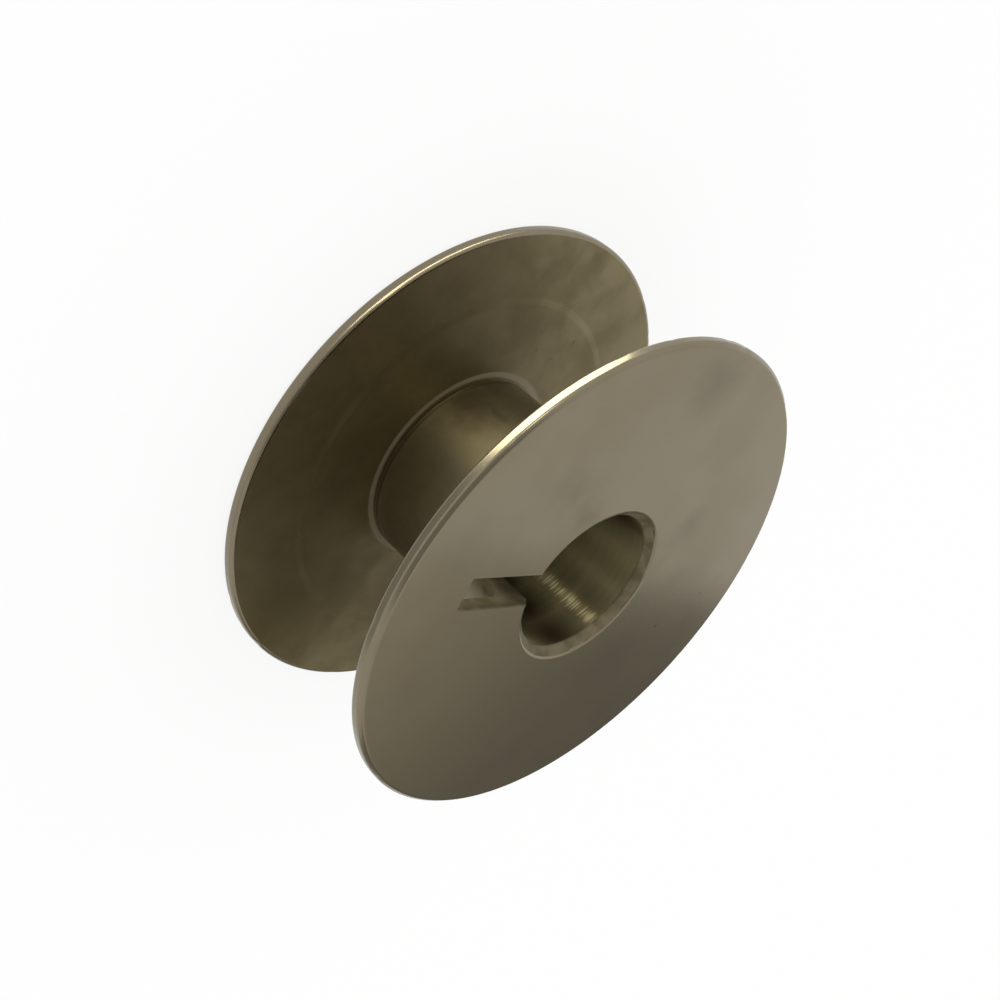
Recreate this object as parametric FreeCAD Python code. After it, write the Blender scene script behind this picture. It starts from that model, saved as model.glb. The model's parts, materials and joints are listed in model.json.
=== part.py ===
import FreeCAD, Part
import math
import os

# Metal sewing machine bobbin, turned in one piece: two thin flanges on a hollow core,
# with a thread slot in the upper flange. Sizes are in millimetres.
# The plain lower flange lies on the ground plane with its centre at the origin,
# the bore runs along +Z, and the slot points along +X.

# Whole bobbin
FLANGE_DIAMETER = 21.0
OVERALL_WIDTH = 8.6

# Flanges
FLANGE_THICKNESS = 0.55
RIM_CHAMFER = 0.15
RIM_ROUND = 0.16

# Low raised hub on the inner face of each flange, with a sloped wall at its edge
HUB_DIAMETER = 15.4
HUB_RISE = 0.07
HUB_SLOPE_RUN = 0.14

# Core with a low conical collar at each end, and the bore for the winder spindle or the bobbin case stud
CORE_DIAMETER = 8.1
COLLAR_RUN = 0.37
COLLAR_RISE = 0.06
BORE_DIAMETER = 6.05
BORE_CHAMFER = 0.33

# Thread slot: it opens into the bore, passes through the flange and notches the end of the core
SLOT_WIDTH = 1.3
SLOT_REACH = 7.0
SLOT_DEPTH = 2.0
CUTTER_OVERRUN = 1.0

# The round on a rim's inner edge takes at most this share of the edge that the outer chamfer leaves
RIM_ROUND_SHARE = 0.7

flange_radius = FLANGE_DIAMETER / 2
bore_radius = BORE_DIAMETER / 2
core_radius = CORE_DIAMETER / 2
hub_radius = HUB_DIAMETER / 2
hub_height = FLANGE_THICKNESS + HUB_RISE
rim_round = min(RIM_ROUND, RIM_ROUND_SHARE * (FLANGE_THICKNESS - RIM_CHAMFER))


def plain_flange_corners():
    """Section of the plain flange as (radius, height, round), from its bore mouth to the core's collar."""
    return [
        (bore_radius, BORE_CHAMFER, 0),
        (bore_radius + BORE_CHAMFER, 0, 0),
        (flange_radius - RIM_CHAMFER, 0, 0),
        (flange_radius, RIM_CHAMFER, 0),
        (flange_radius, FLANGE_THICKNESS, rim_round),
        (hub_radius, FLANGE_THICKNESS, 0),
        (hub_radius - HUB_SLOPE_RUN, hub_height, 0),
        (core_radius + COLLAR_RUN, hub_height, 0),
        (core_radius, hub_height + COLLAR_RISE, 0),
    ]


def mirrored(corners):
    """The same corners on the upper flange, in the order that carries the outline on to the bore."""
    return [
        (radius, OVERALL_WIDTH - height, rounding)
        for radius, height, rounding in reversed(corners)
    ]


def corner_arc(before, corner, after, rounding):
    """Arc of the given radius that is tangent to both sides of a corner."""
    back = (before - corner).normalize()
    ahead = (after - corner).normalize()
    half_angle = back.getAngle(ahead) / 2
    setback = rounding / math.tan(half_angle)
    centre = corner + (back + ahead).normalize() * (rounding / math.sin(half_angle))
    middle = centre + (corner - centre).normalize() * rounding
    return Part.Arc(corner + back * setback, middle, corner + ahead * setback).toShape()


def section_outline(corners):
    """Closed outline in the XZ plane through the corners, with straight sides and rounded corners."""
    points = [FreeCAD.Vector(radius, 0, height) for radius, height, _ in corners]
    stops = []
    edges = []
    for index, (_, _, rounding) in enumerate(corners):
        corner = points[index]
        if rounding:
            arc = corner_arc(points[index - 1], corner, points[(index + 1) % len(points)], rounding)
            edges.append(arc)
            stops.append((arc.Vertexes[0].Point, arc.Vertexes[-1].Point))
        else:
            stops.append((corner, corner))
    for index, (_, leave) in enumerate(stops):
        arrive, _ = stops[(index + 1) % len(stops)]
        edges.append(Part.LineSegment(leave, arrive).toShape())
    return Part.Wire(Part.__sortEdges__(edges))


def turned_body():
    """Flanges, core and bore as one revolved section."""
    lower = plain_flange_corners()
    section = Part.Face(section_outline(lower + mirrored(lower)))
    return section.revolve(FreeCAD.Vector(0, 0, 0), FreeCAD.Vector(0, 0, 1), 360)


def slot_cutter():
    """Square-ended bar from the bore axis to the slot's end, through the upper flange into the core."""
    corner = FreeCAD.Vector(0, -SLOT_WIDTH / 2, OVERALL_WIDTH - SLOT_DEPTH)
    return Part.makeBox(SLOT_REACH, SLOT_WIDTH, SLOT_DEPTH + CUTTER_OVERRUN, corner)


def bobbin():
    """The finished piece: the turned body with its thread slot cut."""
    return turned_body().cut(slot_cutter())


os.makedirs("parts", exist_ok=True)
bobbin().exportStep("parts/bobbin.step")
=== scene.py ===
import json
import math
import random
from collections import namedtuple

import bmesh
import bpy
from bpy.props import FloatProperty, FloatVectorProperty, IntProperty, PointerProperty
from mathutils import Matrix, Quaternion, Vector


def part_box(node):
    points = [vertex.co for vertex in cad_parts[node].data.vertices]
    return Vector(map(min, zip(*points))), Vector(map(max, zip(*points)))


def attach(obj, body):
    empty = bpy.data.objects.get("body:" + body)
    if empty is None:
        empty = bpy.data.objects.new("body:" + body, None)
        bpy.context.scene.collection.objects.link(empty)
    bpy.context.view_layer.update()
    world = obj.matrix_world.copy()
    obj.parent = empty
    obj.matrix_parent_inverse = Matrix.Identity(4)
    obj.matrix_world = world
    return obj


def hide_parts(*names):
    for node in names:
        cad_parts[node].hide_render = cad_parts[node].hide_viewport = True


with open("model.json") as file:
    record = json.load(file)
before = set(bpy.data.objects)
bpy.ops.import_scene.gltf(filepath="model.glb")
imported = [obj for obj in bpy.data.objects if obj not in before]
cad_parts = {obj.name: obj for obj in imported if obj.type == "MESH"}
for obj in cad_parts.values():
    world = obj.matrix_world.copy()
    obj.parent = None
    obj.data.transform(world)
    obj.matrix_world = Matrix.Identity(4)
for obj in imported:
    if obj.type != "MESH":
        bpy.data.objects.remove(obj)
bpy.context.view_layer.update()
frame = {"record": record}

bl_info = {
    "name": "Sewing Machine Bobbin",
    "version": (1, 0, 0),
    "blender": (4, 5, 0),
    "location": "View3D > Sidebar > Bobbin",
    "description": "A turned, nickel-plated sewing machine bobbin on a studio stage",
    "category": "Object",
}

MM = 0.001
NODE = "bobbin"
BODY = "root"
LOW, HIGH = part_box(NODE)
MIDDLE = (LOW + HIGH) / 2
SPINDLE_BORE = next(m for m in frame["record"]["mounts"] if m["name"] == "spindle_bore")
SEED = 7

# Faces of the mesh by finish: the order of the material slots.
OUTER, BORE, WINDING, MILLED, BARREL = range(5)

# A soft mark on the metal, in metres: a smudge that handling left, a stain or a single speck.
Mark = namedtuple("Mark", "place radius strength")

# A soft ring round an upright axis, and its mirror image at the other flange, in metres.
# Its height is counted from the bobbin's middle.
Ring = namedtuple("Ring", "centre radius height width strength")

# A lamp or a grey card with its face turned to a point, in metres.
# Its level is the brightness of its face, where 1 is the white of the background.
Card = namedtuple("Card", "name place aim width height level")


def mark(x, y, z, radius, strength):
    """A soft mark from its place and radius in millimetres."""
    return Mark((x * MM, y * MM, z * MM), radius * MM, strength)


def ring(radius, height, width, strength, shift=(0.0, 0.0)):
    """A soft ring from its sizes in millimetres. Its height is counted from the lower face, and its shift
    from the axis."""
    centre = (shift[0] * MM, shift[1] * MM, MIDDLE.z)
    return Ring(centre, radius * MM, MIDDLE.z - height * MM, width * MM, strength)


# Heights in millimetres: the inner face of the lower flange, and the slotted face.
FLANGE = 0.55
SLOTTED = HIGH.z / MM

# Marks of handling, oil and wear, with painted shade and a painted highlight, by their place on the bobbin.
FACE_SMUDGES = [
    mark(-0.85, -8.9, SLOTTED, 2.2, 0.32),
    mark(4.5, -4.3, SLOTTED, 1.6, 0.22),
    mark(2.75, -3.25, SLOTTED, 1.1, 0.28),
    mark(8.2, -2.15, SLOTTED, 1.6, 0.12),
    mark(-4.45, -2.75, SLOTTED, 1.3, 0.26),
]
FACE_AND_RIM_SPECKS = [
    mark(-6.2, 2.32, SLOTTED, 0.13, 0.8),
    mark(-8.19, 0.76, SLOTTED, 0.1, 0.8),
    mark(-6.15, -8.5, 0.5, 0.16, 0.9),
    mark(-6.5, -8.2, 0.4, 0.13, 0.9),
]
# Oil stains on the lower flange's winding face; the three wide marks are painted shade over that face.
OIL_STAINS_AND_SHADE = [
    mark(0.05, -9.2, FLANGE, 1.3, 0.4),
    mark(-1.85, -8.75, FLANGE, 1.2, 0.4),
    mark(-2.25, -9.45, FLANGE, 0.9, 0.35),
    mark(-1.9, -7.35, 0.6, 0.9, 0.3),
    mark(5.8, 6.8, FLANGE, 7.0, 0.95),
    mark(0.3, 6.8, FLANGE, 4.0, 0.6),
    mark(-5.5, -6.5, FLANGE, 4.0, 0.2),
]
# Stains on the barrel; the last two marks are painted shade on the barrel under the slot.
BARREL_STAINS_AND_SHADE = [
    mark(2.3, -3.3, 1.2, 1.8, 0.6),
    mark(1.77, -3.64, 2.4, 0.7, 0.4),
    mark(2.64, -3.07, 1.8, 1.4, 0.5),
    mark(0.87, -3.96, 0.9, 1.2, 0.3),
    mark(4.0, 0.0, 7.0, 2.2, 0.9),
    mark(3.97, 0.8, 7.35, 0.9, 0.9),
]
# Painted shade inside the slot.
SLOT_SHADE = [
    mark(5.2, 0.65, 8.3, 2.4, 0.45),
    mark(3.6, 0.0, 6.6, 1.6, 0.45),
    mark(3.6, 0.65, 7.8, 1.3, 0.5),
]
# A painted highlight streak runs down this side of the bore, given in plan.
HIGHLIGHT_SIDE = (-2.2, 2.08)
HIGHLIGHT_STREAK = [mark(*HIGHLIGHT_SIDE, 0.0, 1.1, 1.0)]
# Darker patches in the bore: painted shade.
BORE_SHADE = [
    *(mark(-0.7, 2.9, height, 2.2, 0.95) for height in (7.8, 6.0, 4.2)),
    mark(-2.1, -2.2, 7.2, 2.0, 0.6),
    *(mark(*HIGHLIGHT_SIDE, height, 1.6, 0.5) for height in (7.4, 6.0, 4.6, 3.2)),
]
# The pale ring at the foot of the barrel lies a little off the axis.
FOOT_RING = ring(4.2, 0.64, 0.135, 1.0, shift=(0.12, -0.12))
# Painted shade in the corner at the foot of the barrel.
FOOT_CORNER_SHADE = ring(4.06, 0.7, 0.14, 0.5)
RIM_WEAR = ring(10.5, 0.3, 0.4, 0.25)
# Share of a ring's width, on either side of its line, that has its full strength.
RING_CORE = 0.6
# Specks are strewn over the patch that this mark covers. Their radius and strength vary between shares
# of the usual radius and of the patch's strength.
SPECK_CLUSTER = mark(-1.5, -5.83, 0.62, 1.8, 0.9)
CLUSTER_COUNT = 15
CLUSTER_SPECK = 0.09 * MM
CLUSTER_SIZES = (0.6, 1.3)
CLUSTER_STRENGTHS = (0.5, 1.0)

# Satin plate: the noise levels between which clean plate turns dull, how much rougher dull plate is,
# the roughness of a rubbed ring, the noise that frays the edges of handling marks and of painted shade,
# and the rings of the lathe.
CLOUD_EDGES = (0.35, 0.68)
DULL_ROUGHER = 0.04
RUBBED_ROUGHNESS = 0.65
FRAY_GRAIN = 0.9 * MM
FRAY_REACH = 0.8 * MM
LATHE_PITCH = 0.16 * MM
LATHE_DEPTH = 0.0005 * MM
LATHE_STRENGTH = 0.5

# Tooled bore: its roughness, the scale of its noise along each axis, the noise levels of ridges and of
# the painted highlight lines, and the pitch of those lines as a share of the tool marks' pitch.
BORE_ROUGHNESS = 0.46
MARK_SCALE = (0.05, 0.05, 1.0)
RIDGE_EDGES = (0.38, 0.62)
HIGHLIGHT_EDGES = (0.46, 0.58)
HIGHLIGHT_PITCH = 0.6

# Mesh: segments of the worn corners and of the rim's round, how close two vertices are to become one,
# and the angle of a sharp edge.
CORNER_SEGMENTS = 3
RIM_SEGMENTS = 9
MERGE = 1e-4 * MM
SHARP = math.radians(32)

# Wear of the shape: the shallowest tool mark as a share of the deepest, the swell of the bore's mouths and
# its waves round the bore, and the nicks in each rim with their spread and depth in millimetres.
SHALLOWEST = 0.35
MOUTH_SWELL = 0.03 * MM
MOUTH_WAVES = (2, 3, 5, 7)
NICKS = 26
NICK_SPREAD = (0.2, 0.45)
NICK_DEPTH = (0.008, 0.03)


def linear(code):
    """Linear red, green and blue of an sRGB hex code."""
    channels = [int(code[i:i + 2], 16) / 255 for i in (1, 3, 5)]
    return [c / 12.92 if c <= 0.04045 else ((c + 0.055) / 1.055) ** 2.4 for c in channels]


def length(name, description, default):
    """A size in metres that the sidebar shows with its unit."""
    return FloatProperty(name=name, description=description, default=default, min=0.0,
                         precision=6, subtype="DISTANCE", unit="LENGTH")


def colour(name, description, code):
    """A colour of the finish, from its sRGB hex code."""
    return FloatVectorProperty(name=name, description=description, default=linear(code),
                               size=3, min=0.0, max=1.0, subtype="COLOR")


class BobbinSizes(bpy.types.PropertyGroup):
    """Sizes of the turned bobbin"""
    flange_diameter: length("Flange Diameter", "Across both flanges", HIGH.x - LOW.x)
    overall_width: length("Overall Width", "Between the outer faces", HIGH.z - LOW.z)
    flange_thickness: length("Flange Thickness", "At the rim", FLANGE * MM)
    rim_chamfer: length("Rim Chamfer", "On the outer edge of each rim", 0.15 * MM)
    rim_round: length("Rim Round", "On the inner edge of each rim", 0.16 * MM)
    hub_diameter: length("Hub Diameter", "Of the low hub on the inner faces", 15.4 * MM)
    hub_rise: length("Hub Rise", "Of the hub above the inner face, softened by the plating", 0.04 * MM)
    hub_slope: length("Hub Slope", "Radial run of the wall round the hub", 0.3 * MM)
    core_diameter: length("Core Diameter", "Of the barrel the thread winds on", 8.1 * MM)
    collar_run: length("Collar Run", "Radial run of the low cone at each end of the barrel", 0.37 * MM)
    collar_rise: length("Collar Rise", "Height of the low cone at each end of the barrel", 0.06 * MM)
    foot_fillet: length("Foot Fillet", "In the corner between the barrel and each flange", 0.005 * MM)
    bore_diameter: length("Bore Diameter", "Of the hole for the spindle",
                          2 * SPINDLE_BORE["dims"]["r_mm"] * MM)
    bore_chamfer: length("Bore Chamfer", "At both mouths of the bore", 0.33 * MM)
    slot_width: length("Slot Width", "Of the slot that opens into the bore", 1.3 * MM)
    slot_reach: length("Slot Reach", "From the axis to the end of the slot", 7.0 * MM)
    slot_depth: length("Slot Depth", "Below the slotted face", 2.0 * MM)
    edge_break: length("Edge Break", "Wear on the sharp corners", 0.045 * MM)
    groove_pitch: length("Groove Pitch", "Between the tool marks in the bore", 0.155 * MM)
    groove_depth: length("Groove Depth", "Of the tool marks in the bore", 0.014 * MM)
    turn_steps: IntProperty(name="Turn Steps", description="Facets round the axis", default=384, min=48)


class BobbinFinish(bpy.types.PropertyGroup):
    """Colours of the plated metal"""
    nickel: colour("Nickel", "Clean plate on the outer faces", "#7B735F")
    patina: colour("Patina", "Duller clouds in the plate", "#786F5A")
    grime: colour("Grime", "Smudges and specks on the outer faces", "#4E4638")
    winding: colour("Winding Side", "Plate under the thread, dulled and a little yellowed", "#7F7559")
    stain: colour("Stain", "Darker clouds on the winding side", "#73694D")
    # Also painted shade over the lower flange's winding face and in the corner at the foot of the barrel.
    oil: colour("Oil", "Yellowish oil stains on the winding side", "#52482B")
    tooled: colour("Tooled Bore", "Ridges of the tool marks in the bore", "#958B66")
    groove: colour("Groove", "Between the ridges in the bore", "#908662")
    # Painted highlight: bright lines along one side of the bore.
    painted_highlight: colour("Burnished", "Lines in the bore that the spindle has rubbed bright", "#A69D7B")
    # Mostly painted shade in the bore, in the slot, on the barrel under the slot and at the foot of the
    # barrel, with real stains on the barrel too.
    smut_and_shade: colour("Smut", "Dark residue in the bore, in the slot and on the barrel", "#372E1D")
    milled: colour("Milled Slot", "Rough cut metal in the slot and at the mouths of the bore", "#827962")
    barrel: colour("Barrel", "Plate of the barrel, darkened by thread and oil", "#766E56")
    tarnish: colour("Tarnish", "Clouds on the barrel and on cut metal", "#6B634C")
    scuff: colour("Scuff", "Dull rings rubbed bare, on the rims and round each end of the barrel", "#958C78")


class BobbinStage(bpy.types.PropertyGroup):
    """View of the bobbin and the room round it"""
    azimuth: FloatProperty(name="Azimuth", description="Of the camera round the axis, from +X",
                           default=math.radians(-25.4), subtype="ANGLE")
    elevation: FloatProperty(name="Elevation", description="Of the camera above the floor",
                             default=math.radians(31.925), subtype="ANGLE")
    roll: FloatProperty(name="Roll", description="Of the camera about its own axis",
                        default=math.radians(131.911), subtype="ANGLE")
    aim: FloatVectorProperty(name="Aim", description="Point in the middle of the picture", size=3,
                             default=(0.398 * MM, -0.376 * MM, 3.464 * MM), precision=6,
                             subtype="TRANSLATION", unit="LENGTH")
    distance: length("Distance", "From the aim to the camera", 61.149 * MM)
    lens: FloatProperty(name="Lens", description="Focal length in millimetres on a 36 mm sensor",
                        default=56.991, min=1.0)
    floor_side: length("Floor Side", "Of the square floor", 1.6)
    floor: colour("Floor", "White paper", "#FBFBFA")
    far_side: colour("Far Side", "Tint of the dark side of the room", "#FFFCF1")
    lamp: colour("Lamp", "Warm light of the lamps", "#FFFBEA")


def add_node(tree, kind, inputs=(), **settings):
    """Adds a node with its settings, and fills its inputs with values or with other nodes' outputs."""
    node = tree.nodes.new(kind)
    for name, value in settings.items():
        setattr(node, name, value)
    for key, value in dict(inputs).items():
        if isinstance(value, bpy.types.NodeSocket):
            tree.links.new(value, node.inputs[key])
        else:
            node.inputs[key].default_value = value
    return node


def new_material(name):
    """An empty node material and its tree."""
    material = bpy.data.materials.new(name)
    material.use_nodes = True
    material.node_tree.nodes.clear()
    return material, material.node_tree


def opaque(rgb):
    """A colour with its alpha, as node inputs take it."""
    return (*rgb, 1.0)


def marks_cover(tree, place, spots):
    """How far a set of soft marks covers each point: most in the middle of each, none past its radius."""
    covered = 0.0
    for spot in spots:
        away = add_node(tree, "ShaderNodeVectorMath", {
            0: place, 1: spot.place}, operation="DISTANCE").outputs["Value"]
        here = add_node(tree, "ShaderNodeMapRange", {
            "Value": away, "From Min": spot.radius, "From Max": 0.0, "To Max": spot.strength},
            interpolation_type="SMOOTHSTEP").outputs[0]
        covered = add_node(tree, "ShaderNodeMath", {0: covered, 1: here}, operation="MAXIMUM").outputs[0]
    return covered


def ring_cover(tree, place, band):
    """How far a soft ring covers each point: most along its line, none past its width."""
    if band is None:
        return 0.0
    away = add_node(tree, "ShaderNodeVectorMath", {
        0: place, 1: band.centre}, operation="SUBTRACT").outputs[0]
    level = add_node(tree, "ShaderNodeVectorMath", {0: away, 1: (1, 1, 0)}, operation="MULTIPLY").outputs[0]
    radius = add_node(tree, "ShaderNodeVectorMath", {0: level}, operation="LENGTH").outputs["Value"]
    rise = add_node(tree, "ShaderNodeSeparateXYZ", {0: away}).outputs["Z"]
    height = add_node(tree, "ShaderNodeMath", {0: rise}, operation="ABSOLUTE").outputs[0]
    spot = add_node(tree, "ShaderNodeCombineXYZ", {0: radius, 1: height}).outputs[0]
    gap = add_node(tree, "ShaderNodeVectorMath", {
        0: spot, 1: (band.radius, band.height, 0)}, operation="DISTANCE").outputs["Value"]
    return add_node(tree, "ShaderNodeMapRange", {
        "Value": gap, "From Min": band.width, "From Max": band.width * RING_CORE, "To Max": band.strength},
        interpolation_type="SMOOTHSTEP").outputs[0]


def satin_nickel(name, clean, dull, grime, scuff, roughness, cloud, marks_and_shade, specks=(), rubbed=None,
                 seam_shade=None):
    """Nickel plate over fine turned steel, tumbled to a satin: soft wide reflections, faint clouds of
    duller plate, marks of handling and oil, some of which are painted shade, a few dark specks, a dull
    ring rubbed bare and painted shade in the corner at the foot of the barrel. The clouds are about as
    wide as cloud says, in metres."""
    material, tree = new_material(name)
    place = add_node(tree, "ShaderNodeTexCoord").outputs["Object"]
    clouds = add_node(tree, "ShaderNodeTexNoise", {
        "Vector": place, "Scale": 1 / cloud, "Detail": 3.0, "Roughness": 0.5}).outputs["Fac"]
    cloudy = add_node(tree, "ShaderNodeMapRange", {
        "Value": clouds, "From Min": CLOUD_EDGES[0], "From Max": CLOUD_EDGES[1]},
        interpolation_type="SMOOTHSTEP").outputs[0]
    plate = add_node(tree, "ShaderNodeMix", {
        0: cloudy, 6: opaque(clean), 7: opaque(dull)}, data_type="RGBA").outputs[2]
    # Handling marks and painted shade have frayed edges: noise of about a millimetre pushes their place to
    # either side.
    push = add_node(tree, "ShaderNodeTexNoise", {
        "Vector": place, "Scale": 1 / FRAY_GRAIN, "Detail": 3.0}).outputs["Color"]
    pushed = add_node(tree, "ShaderNodeVectorMath", {
        0: push, 1: (2 * FRAY_REACH,) * 3, 2: place}, operation="MULTIPLY_ADD").outputs[0]
    frayed = add_node(tree, "ShaderNodeVectorMath", {
        0: pushed, 1: (FRAY_REACH,) * 3}, operation="SUBTRACT").outputs[0]
    # Handling marks, stains and painted shade darken the plate toward its grime colour.
    dirt_and_shade = add_node(tree, "ShaderNodeMath", {
        0: marks_cover(tree, frayed, marks_and_shade), 1: ring_cover(tree, place, seam_shade)},
        operation="MAXIMUM").outputs[0]
    smudged_and_shaded = add_node(tree, "ShaderNodeMix", {
        0: dirt_and_shade, 6: plate, 7: opaque(grime)}, data_type="RGBA").outputs[2]
    speckled = add_node(tree, "ShaderNodeMix", {
        0: marks_cover(tree, place, specks), 6: smudged_and_shaded, 7: opaque(grime)}, data_type="RGBA").outputs[2]
    bare = ring_cover(tree, place, rubbed)
    worn = add_node(tree, "ShaderNodeMix", {
        0: bare, 6: speckled, 7: opaque(scuff)}, data_type="RGBA").outputs[2]
    plate_gloss = add_node(tree, "ShaderNodeMapRange", {
        "Value": cloudy, "To Min": roughness, "To Max": roughness + DULL_ROUGHER}).outputs[0]
    gloss = add_node(tree, "ShaderNodeMix", {0: bare, 2: plate_gloss, 3: RUBBED_ROUGHNESS}).outputs[0]
    # The lathe's rings are finer than this on the real faces; they are drawn as coarse as they need to show.
    # At a scale of 1 the texture's waves are pi / 10 apart.
    rings = add_node(tree, "ShaderNodeTexWave", {
        "Vector": place, "Scale": math.pi / 10 / LATHE_PITCH}, wave_type="RINGS",
        rings_direction="Z").outputs["Fac"]
    bump = add_node(tree, "ShaderNodeBump", {
        "Height": rings, "Strength": LATHE_STRENGTH, "Distance": LATHE_DEPTH}).outputs["Normal"]
    shader = add_node(tree, "ShaderNodeBsdfPrincipled", {
        "Base Color": worn, "Metallic": 1.0, "Roughness": gloss, "Normal": bump}).outputs[0]
    add_node(tree, "ShaderNodeOutputMaterial", {"Surface": shader})
    return material


def tooled_nickel(name, finish, pitch):
    """Nickel plate over a bore left as the boring tool cut it: fine marks run round the wall, short bright
    lines are painted on them along one side as a painted highlight, and darker patches are painted shade."""
    material, tree = new_material(name)
    place = add_node(tree, "ShaderNodeTexCoord").outputs["Object"]
    # Stretched round the axis and fine along it, so that each tool mark differs from the next.
    lines = add_node(tree, "ShaderNodeMapping", {"Vector": place, "Scale": MARK_SCALE}).outputs[0]
    coarse = add_node(tree, "ShaderNodeTexNoise", {
        "Vector": lines, "Scale": 1 / pitch, "Detail": 1.0, "Roughness": 0.5}).outputs["Fac"]
    ridges = add_node(tree, "ShaderNodeMapRange", {
        "Value": coarse, "From Min": RIDGE_EDGES[0], "From Max": RIDGE_EDGES[1]},
        interpolation_type="SMOOTHSTEP").outputs[0]
    bare = add_node(tree, "ShaderNodeMix", {
        0: ridges, 6: opaque(finish.groove), 7: opaque(finish.tooled)}, data_type="RGBA").outputs[2]
    # Painted shade: darker patches in the bore.
    dirt_and_shade = add_node(tree, "ShaderNodeMix", {
        0: marks_cover(tree, place, BORE_SHADE), 6: bare, 7: opaque(finish.smut_and_shade)},
        data_type="RGBA").outputs[2]
    # The painted highlight lines lie along an upright line on the wall, so that only the plan of the place
    # counts.
    plan = add_node(tree, "ShaderNodeVectorMath", {0: place, 1: (1, 1, 0)}, operation="MULTIPLY").outputs[0]
    fine = add_node(tree, "ShaderNodeTexNoise", {
        "Vector": lines, "Scale": 1 / (HIGHLIGHT_PITCH * pitch), "Detail": 1.0,
        "Roughness": 0.5}).outputs["Fac"]
    rubbed = add_node(tree, "ShaderNodeMath", {
        0: fine, 1: marks_cover(tree, plan, HIGHLIGHT_STREAK)}, operation="MULTIPLY").outputs[0]
    bright = add_node(tree, "ShaderNodeMapRange", {
        "Value": rubbed, "From Min": HIGHLIGHT_EDGES[0], "From Max": HIGHLIGHT_EDGES[1]},
        interpolation_type="SMOOTHSTEP").outputs[0]
    tint = add_node(tree, "ShaderNodeMix", {
        0: bright, 6: dirt_and_shade, 7: opaque(finish.painted_highlight)}, data_type="RGBA").outputs[2]
    round_axis = add_node(tree, "ShaderNodeTangent", direction_type="RADIAL", axis="Z").outputs[0]
    shader = add_node(tree, "ShaderNodeBsdfPrincipled", {
        "Base Color": tint, "Metallic": 1.0, "Roughness": BORE_ROUGHNESS, "Tangent": round_axis,
        "Anisotropic": 1.0, "Anisotropic Rotation": 0.25}).outputs[0]
    add_node(tree, "ShaderNodeOutputMaterial", {"Surface": shader})
    return material


def flange_corners(sizes):
    """Half the section of one flange, from the bore out over the rim and back to the barrel:
    radius, height above the outer face, and the round of the corner."""
    bore = sizes.bore_diameter / 2
    rim = sizes.flange_diameter / 2
    hub = sizes.hub_diameter / 2
    core = sizes.core_diameter / 2
    face = sizes.flange_thickness + sizes.hub_rise
    wear = sizes.edge_break
    return [
        (bore, sizes.bore_chamfer, wear),
        (bore + sizes.bore_chamfer, 0.0, wear),
        (rim - sizes.rim_chamfer, 0.0, wear),
        (rim, sizes.rim_chamfer, wear),
        (rim, sizes.flange_thickness, sizes.rim_round),
        (hub, sizes.flange_thickness, wear),
        (hub - sizes.hub_slope, face, wear),
        (core + sizes.collar_run, face, wear),
        (core, face + sizes.collar_rise, sizes.foot_fillet),
    ]


def draw_section(bm, sizes):
    """Draws the closed half section in the XZ plane, with its corners rounded."""
    lower = flange_corners(sizes)
    upper = [(radius, sizes.overall_width - height, rounding)
             for radius, height, rounding in reversed(lower)]
    corners = [(bm.verts.new((radius, 0.0, height)), rounding)
               for radius, height, rounding in lower + upper]
    bm.faces.new([vert for vert, rounding in corners])
    for rounding in sorted({rounding for vert, rounding in corners}):
        segments = RIM_SEGMENTS if rounding == sizes.rim_round else CORNER_SEGMENTS
        bmesh.ops.bevel(bm, geom=[vert for vert, own in corners if own == rounding], offset=rounding,
                        offset_type="OFFSET", affect="VERTICES", segments=segments, profile=0.5,
                        material=-1)


def hold_flats(bm, sizes):
    """Splits each straight run of the section close to both ends, so that smooth shading stays flat."""
    margin = sizes.edge_break
    for edge in [e for e in bm.edges if e.calc_length() > 4 * margin]:
        start, end = edge.verts
        new_vert = bmesh.utils.edge_split(edge, start, margin / edge.calc_length())[1]
        far = next(e for e in new_vert.link_edges if end in e.verts)
        bmesh.utils.edge_split(far, end, margin / far.calc_length())


def cut_tool_marks(bm, sizes, chance):
    """Cuts the shallow grooves that the boring tool left along the bore, in the section."""
    bore = sizes.bore_diameter / 2
    wall = max((e for e in bm.edges if all(abs(v.co.x - bore) < sizes.groove_depth for v in e.verts)),
               key=lambda e: e.calc_length())
    cuts = 2 * round(wall.calc_length() / sizes.groove_pitch) - 1
    made = bmesh.ops.subdivide_edges(bm, edges=[wall], cuts=cuts)["geom_inner"]
    stops = sorted((g for g in made if isinstance(g, bmesh.types.BMVert)), key=lambda v: v.co.z)
    for vert in stops[::2]:
        vert.co.x += sizes.groove_depth * chance.uniform(SHALLOWEST, 1.0)


def turn_section(bm, sizes):
    """Spins the section a quarter round the axis and mirrors that twice into a closed shell."""
    bmesh.ops.delete(bm, geom=bm.faces[:], context="FACES_ONLY")
    bmesh.ops.spin(bm, geom=bm.verts[:] + bm.edges[:], cent=(0, 0, 0), axis=(0, 0, 1), angle=math.pi / 2,
                   steps=sizes.turn_steps // 4)
    for axis in "XY":
        bmesh.ops.mirror(bm, geom=bm.verts[:] + bm.edges[:] + bm.faces[:], axis=axis, merge_dist=MERGE)
    bmesh.ops.remove_doubles(bm, verts=bm.verts[:], dist=MERGE)
    bmesh.ops.recalc_face_normals(bm, faces=bm.faces[:])


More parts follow.
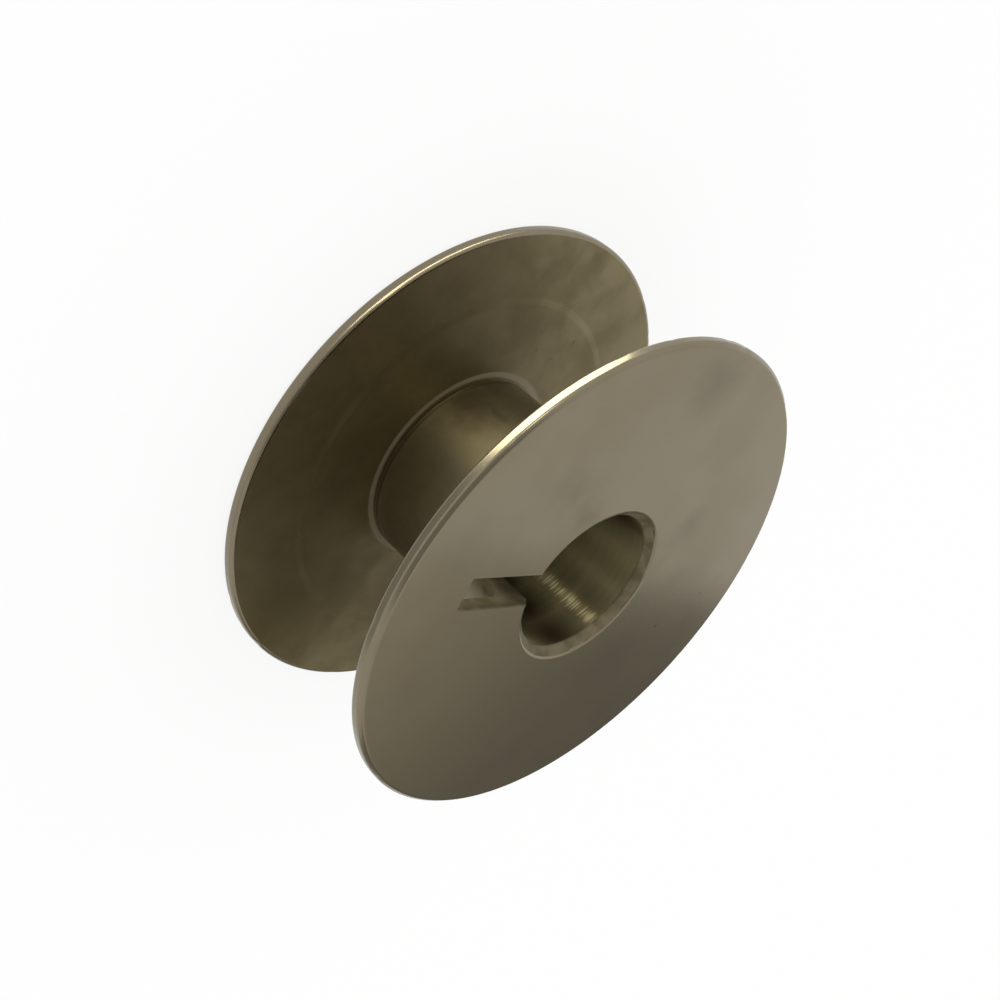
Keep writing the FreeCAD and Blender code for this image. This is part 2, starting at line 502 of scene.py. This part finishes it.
def ease_mouths(bm, sizes, chance):
    """Makes the bore's chamfers a little uneven, as a hand-held reamer leaves them."""
    mouth = sizes.bore_diameter / 2 + sizes.bore_chamfer
    waves = [(count, chance.uniform(0, 2 * math.pi)) for count in MOUTH_WAVES]
    reach = 2 * sizes.edge_break
    for vert in bm.verts:
        radius = vert.co.xy.length
        depth = min(vert.co.z, sizes.overall_width - vert.co.z)
        if radius < mouth + reach and depth < sizes.bore_chamfer + reach:
            turn = math.atan2(vert.co.y, vert.co.x)
            swell = sum(math.cos(count * turn + start) / count for count, start in waves)
            nearness = 1 - min(1.0, abs(radius - mouth) / reach)
            vert.co.xy += vert.co.xy.normalized() * MOUTH_SWELL * swell * nearness


def dent_rims(bm, sizes, chance):
    """Small nicks along both rims, where the bobbin has been knocked."""
    rim = sizes.flange_diameter / 2
    reach = 2 * sizes.rim_round
    edge = [v for v in bm.verts if v.co.xy.length > rim - reach]
    for flange in (0.0, sizes.overall_width):
        band = [v for v in edge if abs(v.co.z - flange) < sizes.flange_thickness + reach]
        for _ in range(NICKS):
            turn = chance.uniform(0, 2 * math.pi)
            height = abs(flange - chance.choice((0.0, sizes.flange_thickness)))
            middle = Vector((rim * math.cos(turn), rim * math.sin(turn), height))
            spread = chance.uniform(*NICK_SPREAD) * MM
            depth = chance.uniform(*NICK_DEPTH) * MM
            for vert in band:
                away = (vert.co - middle).length / spread
                if away < 1:
                    vert.co.xy -= vert.co.xy.normalized() * depth * (1 - away ** 2) ** 2


def paint_zones(bm, sizes):
    """Gives each face the finish of its place: the bore's wall, the cut metal at its mouths, the outer faces
    and rims, the barrel, or the winding side of the flanges."""
    wall = sizes.bore_diameter / 2 + sizes.groove_depth
    mouth = sizes.bore_diameter / 2 + sizes.bore_chamfer - sizes.edge_break
    rim = sizes.flange_diameter / 2 - sizes.rim_round
    inside = sizes.flange_thickness - sizes.edge_break
    barrel = sizes.core_diameter / 2 + sizes.foot_fillet / 3
    for face in bm.faces:
        middle = face.calc_center_median()
        radius = middle.xy.length
        depth = min(middle.z, sizes.overall_width - middle.z)
        face.smooth = True
        if radius < wall and depth > sizes.bore_chamfer + sizes.edge_break:
            face.material_index = BORE
        elif radius < mouth:
            face.material_index = MILLED
        elif radius > rim or depth < inside:
            face.material_index = OUTER
        elif radius < barrel:
            face.material_index = BARREL
        else:
            face.material_index = WINDING


def slot_cutter(sizes):
    """A block as wide and deep as the slot, flared where the slot's edges are broken."""
    bm = bmesh.new()
    top = sizes.overall_width
    height = 2 * sizes.slot_depth
    wear = sizes.edge_break
    bmesh.ops.create_cube(bm, size=1.0)
    bmesh.ops.scale(bm, vec=(sizes.slot_reach, sizes.slot_width, height), verts=bm.verts[:])
    bmesh.ops.translate(bm, vec=(sizes.slot_reach / 2, 0, top), verts=bm.verts[:])
    for level in (top - wear, top):
        bmesh.ops.bisect_plane(bm, geom=bm.verts[:] + bm.edges[:] + bm.faces[:], plane_co=(0, 0, level),
                               plane_no=(0, 0, 1))
    for vert in bm.verts:
        if vert.co.z > top - wear / 2:
            vert.co.y += math.copysign(wear, vert.co.y)
            if vert.co.x > sizes.slot_reach / 2:
                vert.co.x += wear
    for face in bm.faces:
        face.material_index = MILLED
    bmesh.ops.recalc_face_normals(bm, faces=bm.faces[:])
    return new_object("slot_cutter", bm)


def new_object(name, bm):
    """An object at the origin with the finished mesh."""
    mesh = bpy.data.meshes.new(name)
    bm.to_mesh(mesh)
    bm.free()
    made = bpy.data.objects.new(name, mesh)
    bpy.context.scene.collection.objects.link(made)
    return made


def cut_away(piece, cutter):
    """Takes the cutter's shape out of the piece for good."""
    cut = piece.modifiers.new("cut", "BOOLEAN")
    cut.operation = "DIFFERENCE"
    cut.solver = "MANIFOLD"
    cut.object = cutter
    whole = piece.data
    seen = piece.evaluated_get(bpy.context.evaluated_depsgraph_get())
    piece.data = bpy.data.meshes.new_from_object(seen)
    piece.data.name = piece.name
    piece.modifiers.clear()
    bpy.data.meshes.remove(whole)
    bpy.data.meshes.remove(cutter.data)


def scattered(cluster, chance):
    """Specks strewn over the round patch of a flat face that the cluster marks."""
    specks = []
    for _ in range(CLUSTER_COUNT):
        turn = chance.uniform(0, 2 * math.pi)
        out = cluster.radius * math.sqrt(chance.random())
        place = Vector(cluster.place) + Vector((out * math.cos(turn), out * math.sin(turn), 0.0))
        radius = CLUSTER_SPECK * chance.uniform(*CLUSTER_SIZES)
        strength = cluster.strength * chance.uniform(*CLUSTER_STRENGTHS)
        specks.append(Mark(place, radius, strength))
    return specks


def plated_finishes(finish, sizes, chance):
    """The five finishes, in the order of the material slots."""
    return [
        satin_nickel("satin_nickel_plate", finish.nickel, finish.patina, finish.grime, finish.scuff,
                     roughness=0.12, cloud=3.4 * MM, marks_and_shade=FACE_SMUDGES, specks=FACE_AND_RIM_SPECKS,
                     rubbed=RIM_WEAR),
        tooled_nickel("tooled_bore_nickel", finish, sizes.groove_pitch),
        satin_nickel("stained_and_shaded_nickel_plate", finish.winding, finish.stain, finish.oil, finish.scuff,
                     roughness=0.45, cloud=1.9 * MM, marks_and_shade=OIL_STAINS_AND_SHADE,
                     specks=scattered(SPECK_CLUSTER, chance), rubbed=FOOT_RING, seam_shade=FOOT_CORNER_SHADE),
        satin_nickel("milled_nickel", finish.milled, finish.tarnish, finish.smut_and_shade, finish.scuff,
                     roughness=0.7, cloud=0.8 * MM, marks_and_shade=SLOT_SHADE),
        satin_nickel("stained_and_shaded_barrel_nickel", finish.barrel, finish.tarnish, finish.smut_and_shade, finish.scuff,
                     roughness=0.36, cloud=1.3 * MM, marks_and_shade=BARREL_STAINS_AND_SHADE, seam_shade=FOOT_CORNER_SHADE),
    ]


class BOBBIN_OT_turn(bpy.types.Operator):
    """Turns the bobbin from its section, cuts its slot and plates it"""
    bl_idname = "bobbin.turn"
    bl_label = "Turn Bobbin"
    bl_options = {"REGISTER", "UNDO"}

    def execute(self, context):
        sizes = context.scene.bobbin_sizes
        finish = context.scene.bobbin_finish
        chance = random.Random(SEED)
        bm = bmesh.new()
        draw_section(bm, sizes)
        hold_flats(bm, sizes)
        cut_tool_marks(bm, sizes, chance)
        turn_section(bm, sizes)
        ease_mouths(bm, sizes, chance)
        dent_rims(bm, sizes, chance)
        paint_zones(bm, sizes)
        piece = new_object("turned_bobbin", bm)
        for material in plated_finishes(finish, sizes, chance):
            piece.data.materials.append(material)
        cut_away(piece, slot_cutter(sizes))
        piece.data.set_sharp_from_angle(angle=SHARP)
        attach(piece, BODY)
        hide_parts(NODE)
        return {"FINISHED"}


def around(azimuth, elevation, distance):
    """A place at those angles, in degrees, and that distance from the middle of the bobbin."""
    turn = math.radians(azimuth)
    rise = math.radians(elevation)
    away = Vector((math.cos(turn) * math.cos(rise), math.sin(turn) * math.cos(rise), math.sin(rise)))
    return MIDDLE + distance * away


OVERHEAD = MIDDLE + Vector((0.0, 0.0, 45.0 * MM))
LAMPS = (
    Card("rim_strip_lamp", around(-61.0, -8.0, 19.5 * MM), OVERHEAD, 17.0 * MM, 12.0 * MM, 8.0),
    Card("back_wall_lamp", around(182.0, 25.0, 300.0 * MM), MIDDLE, 280.0 * MM, 280.0 * MM, 0.06),
    Card("back_floor_lamp", around(165.0, -10.0, 24.0 * MM), OVERHEAD, 24.0 * MM, 18.0 * MM, 2.5),
    Card("window_lamp", around(-59.0, 28.0, 300.0 * MM), MIDDLE, 50.0 * MM, 100.0 * MM, 8.0),
)
FLAGS = (
    Card("camera_side_flag", around(-11.0, 60.0, 300.0 * MM), MIDDLE, 375.0 * MM, 275.0 * MM, 0.45),
    Card("near_floor_flag", around(4.0, -11.0, 19.0 * MM), OVERHEAD, 24.0 * MM, 12.0 * MM, 0.55),
)

# The dark side of the room, cut to an outline of azimuth and elevation in degrees.
# It is a warm grey that fades to the white of the room between two elevations.
FAR_SIDE = ((95, -6), (95, 36), (146, 36), (152, 31), (157.2, 24.4), (161.5, 10), (164, -6))
FAR_SIDE_AWAY = 2.0
FAR_SIDE_LEVEL = 0.29
FAR_SIDE_FADE = (25.5, 34.5)

# The floor lies just under the bobbin. The camera and the metal see this share of its own even white,
# which falls to none under the bobbin, from the rim in to this share of the rim's radius.
FLOOR_DROP = 0.01 * MM
FLOOR_EVEN = 0.84
FLOOR_DARK = 0.7

# Of the camera, in millimetres.
SENSOR_WIDTH = 36.0


def facing(place, aim, roll=0.0):
    """A place whose face is turned to its aim with its upper side up, then rolled."""
    turn = (aim - place).to_track_quat("-Z", "Y") @ Quaternion((0, 0, 1), roll)
    return Matrix.Translation(place) @ turn.to_matrix().to_4x4()


def white_floor(stage):
    """Matte white paper under the bobbin. Seen by the camera or in the metal it is mostly its own even
    white, so that the shadow on it stays light, but it is dark where the bobbin covers it."""
    bm = bmesh.new()
    bmesh.ops.create_grid(bm, x_segments=1, y_segments=1, size=stage.floor_side / 2)
    floor = new_object("white_floor", bm)
    floor.location.z = -FLOOR_DROP
    material, tree = new_material("white_paper")
    path = add_node(tree, "ShaderNodeLightPath")
    seen = add_node(tree, "ShaderNodeMath", {
        0: path.outputs["Is Camera Ray"], 1: path.outputs["Is Glossy Ray"]}, operation="MAXIMUM").outputs[0]
    shown = add_node(tree, "ShaderNodeMath", {
        0: seen, 1: path.outputs["Is Transmission Ray"]}, operation="MAXIMUM").outputs[0]
    place = add_node(tree, "ShaderNodeTexCoord").outputs["Object"]
    beside = add_node(tree, "ShaderNodeVectorMath", {0: place}, operation="LENGTH").outputs["Value"]
    bare = add_node(tree, "ShaderNodeMapRange", {
        "Value": beside, "From Min": FLOOR_DARK * HIGH.x, "From Max": HIGH.x, "To Max": FLOOR_EVEN},
        interpolation_type="SMOOTHSTEP").outputs[0]
    share = add_node(tree, "ShaderNodeMath", {0: shown, 1: bare}, operation="MULTIPLY").outputs[0]
    paper = add_node(tree, "ShaderNodeBsdfDiffuse", {"Color": opaque(stage.floor)}).outputs[0]
    even = add_node(tree, "ShaderNodeEmission", {"Color": (1, 1, 1, 1), "Strength": 1.0}).outputs[0]
    mixed = add_node(tree, "ShaderNodeMixShader", {0: share, 1: paper, 2: even}).outputs[0]
    add_node(tree, "ShaderNodeOutputMaterial", {"Surface": mixed})
    floor.data.materials.append(material)


def white_room(scene):
    """An even white room at the level where a colour shows as it is written."""
    room = bpy.data.worlds.new("white_room")
    room.use_nodes = True
    room.node_tree.nodes.clear()
    light = add_node(room.node_tree, "ShaderNodeBackground", {
        "Color": (1, 1, 1, 1), "Strength": 1.0}).outputs[0]
    add_node(room.node_tree, "ShaderNodeOutputWorld", {"Surface": light})
    scene.world = room


def hang_lamp(card, tint):
    """A soft rectangular lamp that shines on the metal alone and that the camera doesn't see."""
    lamp = bpy.data.lights.new(card.name, "AREA")
    lamp.shape = "RECTANGLE"
    lamp.size = card.width
    lamp.size_y = card.height
    lamp.energy = card.level * math.pi * card.width * card.height
    lamp.color = tint
    holder = bpy.data.objects.new(card.name, lamp)
    bpy.context.scene.collection.objects.link(holder)
    holder.matrix_world = facing(card.place, card.aim)
    holder.visible_camera = False
    holder.visible_diffuse = False


def card_outline(card):
    """The four corners of a card."""
    place = facing(card.place, card.aim)
    return [place @ Vector((x * card.width / 2, y * card.height / 2, 0.0)) for x, y in
            ((-1, -1), (1, -1), (1, 1), (-1, 1))]


def hang_flag(name, outline, level, tint=(1, 1, 1), fade=None):
    """A grey card, cut to an outline, that only the metal sees: it gives the white room a darker side.
    Between the two elevations of a fade, in degrees, it turns as light as the room."""
    bm = bmesh.new()
    bm.faces.new([bm.verts.new(corner) for corner in outline])
    flag = new_object(name, bm)
    material, tree = new_material(name)
    strength = level
    if fade:
        place = add_node(tree, "ShaderNodeTexCoord").outputs["Object"]
        toward = add_node(tree, "ShaderNodeVectorMath", {0: place}, operation="NORMALIZE").outputs[0]
        rise = add_node(tree, "ShaderNodeSeparateXYZ", {0: toward}).outputs["Z"]
        low, high = (math.sin(math.radians(angle)) for angle in fade)
        strength = add_node(tree, "ShaderNodeMapRange", {
            "Value": rise, "From Min": low, "From Max": high, "To Min": level}).outputs[0]
    grey = add_node(tree, "ShaderNodeEmission", {"Color": opaque(tint), "Strength": strength}).outputs[0]
    add_node(tree, "ShaderNodeOutputMaterial", {"Surface": grey})
    flag.data.materials.append(material)
    for rays in ("camera", "diffuse", "transmission", "shadow"):
        setattr(flag, "visible_" + rays, False)


def aim_camera(scene, stage):
    """Sets up the camera at the photograph's viewing angle."""
    lens = bpy.data.cameras.new("camera")
    lens.lens = stage.lens
    lens.sensor_width = SENSOR_WIDTH
    lens.clip_start = MM
    camera = bpy.data.objects.new("camera", lens)
    scene.collection.objects.link(camera)
    aim = Vector(stage.aim)
    away = around(math.degrees(stage.azimuth), math.degrees(stage.elevation), stage.distance) - MIDDLE
    camera.matrix_world = facing(aim + away, aim, stage.roll)
    scene.camera = camera


class BOBBIN_OT_stage(bpy.types.Operator):
    """Sets the floor, the room, the lamps and the camera"""
    bl_idname = "bobbin.stage"
    bl_label = "Set Stage"
    bl_options = {"REGISTER", "UNDO"}

    def execute(self, context):
        scene = context.scene
        stage = scene.bobbin_stage
        scene.view_settings.view_transform = "Standard"
        white_room(scene)
        white_floor(stage)
        for card in LAMPS:
            hang_lamp(card, stage.lamp)
        for card in FLAGS:
            hang_flag(card.name, card_outline(card), card.level)
        far_side = [around(*corner, FAR_SIDE_AWAY) for corner in FAR_SIDE]
        hang_flag("far_side_flag", far_side, FAR_SIDE_LEVEL, stage.far_side, FAR_SIDE_FADE)
        aim_camera(scene, stage)
        return {"FINISHED"}


class BOBBIN_PT_sidebar(bpy.types.Panel):
    """Sizes, colours and view of the bobbin"""
    bl_idname = "BOBBIN_PT_sidebar"
    bl_label = "Sewing Machine Bobbin"
    bl_space_type = "VIEW_3D"
    bl_region_type = "UI"
    bl_category = "Bobbin"

    def draw(self, context):
        layout = self.layout
        for group, operator in (("bobbin_sizes", None), ("bobbin_finish", "bobbin.turn"),
                                ("bobbin_stage", "bobbin.stage")):
            settings = getattr(context.scene, group)
            box = layout.box()
            for name in settings.__annotations__:
                box.prop(settings, name)
            if operator:
                layout.operator(operator)


GROUPS = {"bobbin_sizes": BobbinSizes, "bobbin_finish": BobbinFinish, "bobbin_stage": BobbinStage}
CLASSES = (*GROUPS.values(), BOBBIN_OT_turn, BOBBIN_OT_stage, BOBBIN_PT_sidebar)


def register():
    """Registers the classes and gives each scene its settings."""
    for entry in CLASSES:
        bpy.utils.register_class(entry)
    for name, group in GROUPS.items():
        setattr(bpy.types.Scene, name, PointerProperty(type=group))


def unregister():
    """Undoes what register did."""
    for name in GROUPS:
        delattr(bpy.types.Scene, name)
    for entry in reversed(CLASSES):
        bpy.utils.unregister_class(entry)


def main():
    """Builds the bobbin and its stage."""
    register()
    bpy.ops.bobbin.turn()
    bpy.ops.bobbin.stage()


if __name__ == "__main__":
    main()
